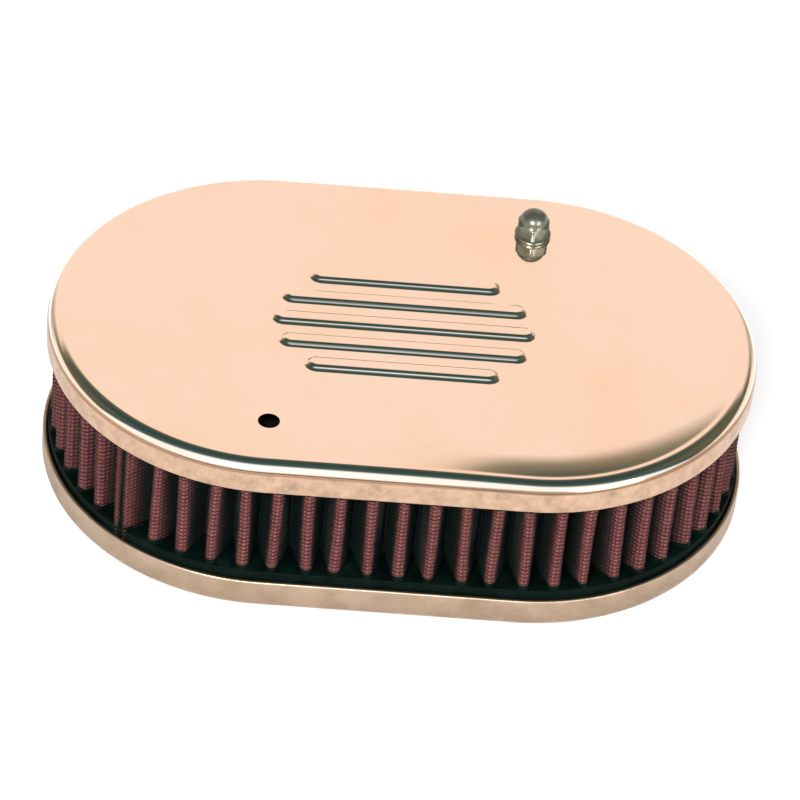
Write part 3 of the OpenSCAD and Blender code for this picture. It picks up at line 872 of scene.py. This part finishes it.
washer_in, washer_out, washer_t, washer_edge = screw_r + 0.1, 4.6, 1.0, 0.12
washer_split, washer_turn = 0.8, nut_turn + 100
half_gap = math.asin(washer_split / 2 / washer_out)
washer_angles = np.linspace(half_gap, 2 * math.pi - half_gap, 90) + math.radians(washer_turn)
washer_low = box_mm("lock_washer")[0][2]
corner_arcs = [
    arc(washer_in + washer_edge, washer_low + washer_edge, washer_edge, 180, 270, 2),
    arc(washer_out - washer_edge, washer_low + washer_edge, washer_edge, 270, 360, 2),
    arc(washer_out - washer_edge, washer_low + washer_t - washer_edge, washer_edge, 0, 90, 2),
    arc(washer_in + washer_edge, washer_low + washer_t - washer_edge, washer_edge, 90, 180, 2),
]
radius, height = np.concatenate(corner_arcs).T
washer_points = np.stack(np.broadcast_arrays(
    screw_x + radius * np.cos(washer_angles)[:, None],
    screw_y + radius * np.sin(washer_angles)[:, None], height), -1)
rows, columns = washer_points.shape[:2]
washer_faces = grid_faces(rows, columns, False, True).tolist()
washer_faces += [list(range(columns)), list(range((rows - 1) * columns, rows * columns))]
washer = make_piece(
    "split_washer", washer_points, washer_faces, nickel, merge=True,
    recalculate=True)
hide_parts("lock_washer")

# Floor, lamps and surroundings
# A white floor fills the frame and keeps a soft shadow. The polished bend of the cover mirrors
# the room as bands: warm behind, dark overhead, bright in front and low down at both sides.
floor_mesh = bpy.data.meshes.new("floor")
floor_half, floor_drop, floor_glow = 3.0, 0.0001, 0.45
shadow_edge, mirrored_edge = 3.0, 14
floor_mesh.from_pydata([(-floor_half, -floor_half, 0), (floor_half, -floor_half, 0),
                        (floor_half, floor_half, 0), (-floor_half, floor_half, 0)], [], [(0, 1, 2, 3)])
floor = bpy.data.objects.new("floor", floor_mesh)
floor.location.z = -floor_drop
bpy.context.collection.objects.link(floor)
white_floor, tree, shader, _ = new_material("white_floor", Roughness=0.9)
shader.inputs["Base Color"].default_value = (0.9, 0.9, 0.9, 1)
shader.inputs["Specular IOR Level"].default_value = 0.0
shader.inputs["Emission Strength"].default_value = 1.0
path = tree.nodes.new("ShaderNodeLightPath").outputs
seen = add_node(tree, "Math", {0: path["Is Camera Ray"], 1: path["Is Glossy Ray"]}, operation="MAXIMUM")
seen = add_node(tree, "Math", {0: seen.outputs[0], 1: path["Is Transmission Ray"]}, operation="MAXIMUM")
# No light comes up through the throats, so the floor under the filter doesn't shine, and in
# reflections it is dark close round the filter too. The fold shade gives both masks.
place = tree.nodes.new("ShaderNodeTexCoord").outputs["Object"]
clear = use_fold_shade(tree, place, plate_r, shadow_edge)
far_off = use_fold_shade(tree, place, plate_r + mirrored_edge, mirrored_edge)
mirrored = add_node(tree, "Mix", {0: path["Is Glossy Ray"], 2: clear, 3: far_off}).outputs[0]
glow = add_node(tree, "Math", {0: mirrored, 1: floor_glow}, operation="MULTIPLY")
glow = add_node(tree, "Math", {0: seen.outputs[0], 1: glow.outputs[0]}, operation="MULTIPLY")
tree.links.new(glow.outputs[0], shader.inputs["Emission Color"])
floor_mesh.materials.append(white_floor)

world = bpy.data.worlds.new("white_room")
bpy.context.scene.world = world
world.use_nodes = True
world.node_tree.nodes["Background"].inputs["Color"].default_value = (1, 1, 1, 1)
world.node_tree.nodes["Background"].inputs["Strength"].default_value = 0.3

# Studio cards, a dome that is seen only in reflections
card_r, card_rows, card_columns, card_middle = 2.4, 24, 64, -0.06
rise = np.linspace(0, math.pi / 2, card_rows)[:, None]
round_way = np.linspace(0, 2 * math.pi, card_columns, endpoint=False)[None, :]
card_points = card_r * np.stack(np.broadcast_arrays(
    np.cos(rise) * np.cos(round_way), np.cos(rise) * np.sin(round_way), np.sin(rise)), -1)
card_mesh = bpy.data.meshes.new("studio_cards")
card_mesh.from_pydata(card_points.reshape(-1, 3).tolist(), [],
                      grid_faces(card_rows, card_columns, False, True).tolist())
cards = bpy.data.objects.new("studio_cards", card_mesh)
cards.visible_camera = cards.visible_diffuse = cards.visible_shadow = False
bpy.context.collection.objects.link(cards)
card_paint = bpy.data.materials.new("studio_cards")
card_paint.use_nodes = True
tree = card_paint.node_tree
tree.nodes.remove(tree.nodes["Principled BSDF"])
place = tree.nodes.new("ShaderNodeTexCoord").outputs["Object"]
ray = add_node(tree, "VectorMath", {0: place}, operation="NORMALIZE").outputs[0]
split = add_node(tree, "SeparateXYZ", {"Vector": ray}).outputs
rise = add_node(tree, "Math", {0: split["Z"], 1: split["Y"]}, operation="ARCTAN2")
turn = add_node(tree, "Math", {0: rise.outputs[0], 1: math.pi}, operation="DIVIDE")
shades = add_ramp(tree, turn.outputs[0], [
    (0.0, (1.05, 0.86, 0.74)), (0.246, (1.05, 0.86, 0.74)), (0.268, (0.3, 0.27, 0.19)),
    (0.295, (0.1, 0.12, 0.09)), (0.4, (0.03, 0.07, 0.075)), (0.55, (0.05, 0.1, 0.105)),
    (0.61, (0.12, 0.19, 0.19)), (0.665, (1.1, 1.2, 1.25)), (0.94, (1.1, 1.2, 1.25)),
    (0.98, (0.25, 0.18, 0.12)), (1.0, (0.5, 0.4, 0.3))])
# Far to the sides the wall behind turns olive, and low down both side walls are bright
sideways = add_node(tree, "Math", {0: split["X"], 1: card_middle}, operation="SUBTRACT").outputs[0]
sideways = add_node(tree, "Math", {0: sideways}, operation="ABSOLUTE").outputs[0]


def faded(value, start, end):
    """0 before the start of a range and 1 past its end, whichever way the range runs."""
    return add_node(tree, "MapRange", {"Value": value, "From Min": start, "From Max": end}).outputs[0]


for across, upright, colour in (
    (faded(sideways, 0.46, 0.72), faded(turn.outputs[0], 0.56, 0.5), (0.12, 0.13, 0.085, 1)),
    (faded(sideways, 0.6, 0.8), faded(split["Z"], 0.36, 0.2), (1.15, 1.05, 0.92, 1)),
):
    both = add_node(tree, "Math", {0: across, 1: upright}, operation="MULTIPLY").outputs[0]
    shades = mix_colours(tree, both, shades, colour)
shine = add_node(tree, "Emission", {"Color": shades})
tree.links.new(shine.outputs[0], tree.nodes["Material Output"].inputs["Surface"])
card_mesh.materials.append(card_paint)

for name, place, size, power in (
    ("key_lamp", (-0.35, -1.25, 1.0), 0.6, 26.0),
    ("fill_lamp", (0.8, -0.9, 0.7), 0.7, 8.0),
):
    lamp = bpy.data.objects.new(name, bpy.data.lights.new(name, "AREA"))
    lamp.data.size, lamp.data.energy = size, power
    lamp.location = place
    lamp.rotation_euler = (-lamp.location).to_track_quat("-Z", "Y").to_euler()
    bpy.context.collection.objects.link(lamp)

bpy.context.scene.view_settings.view_transform = "Standard"
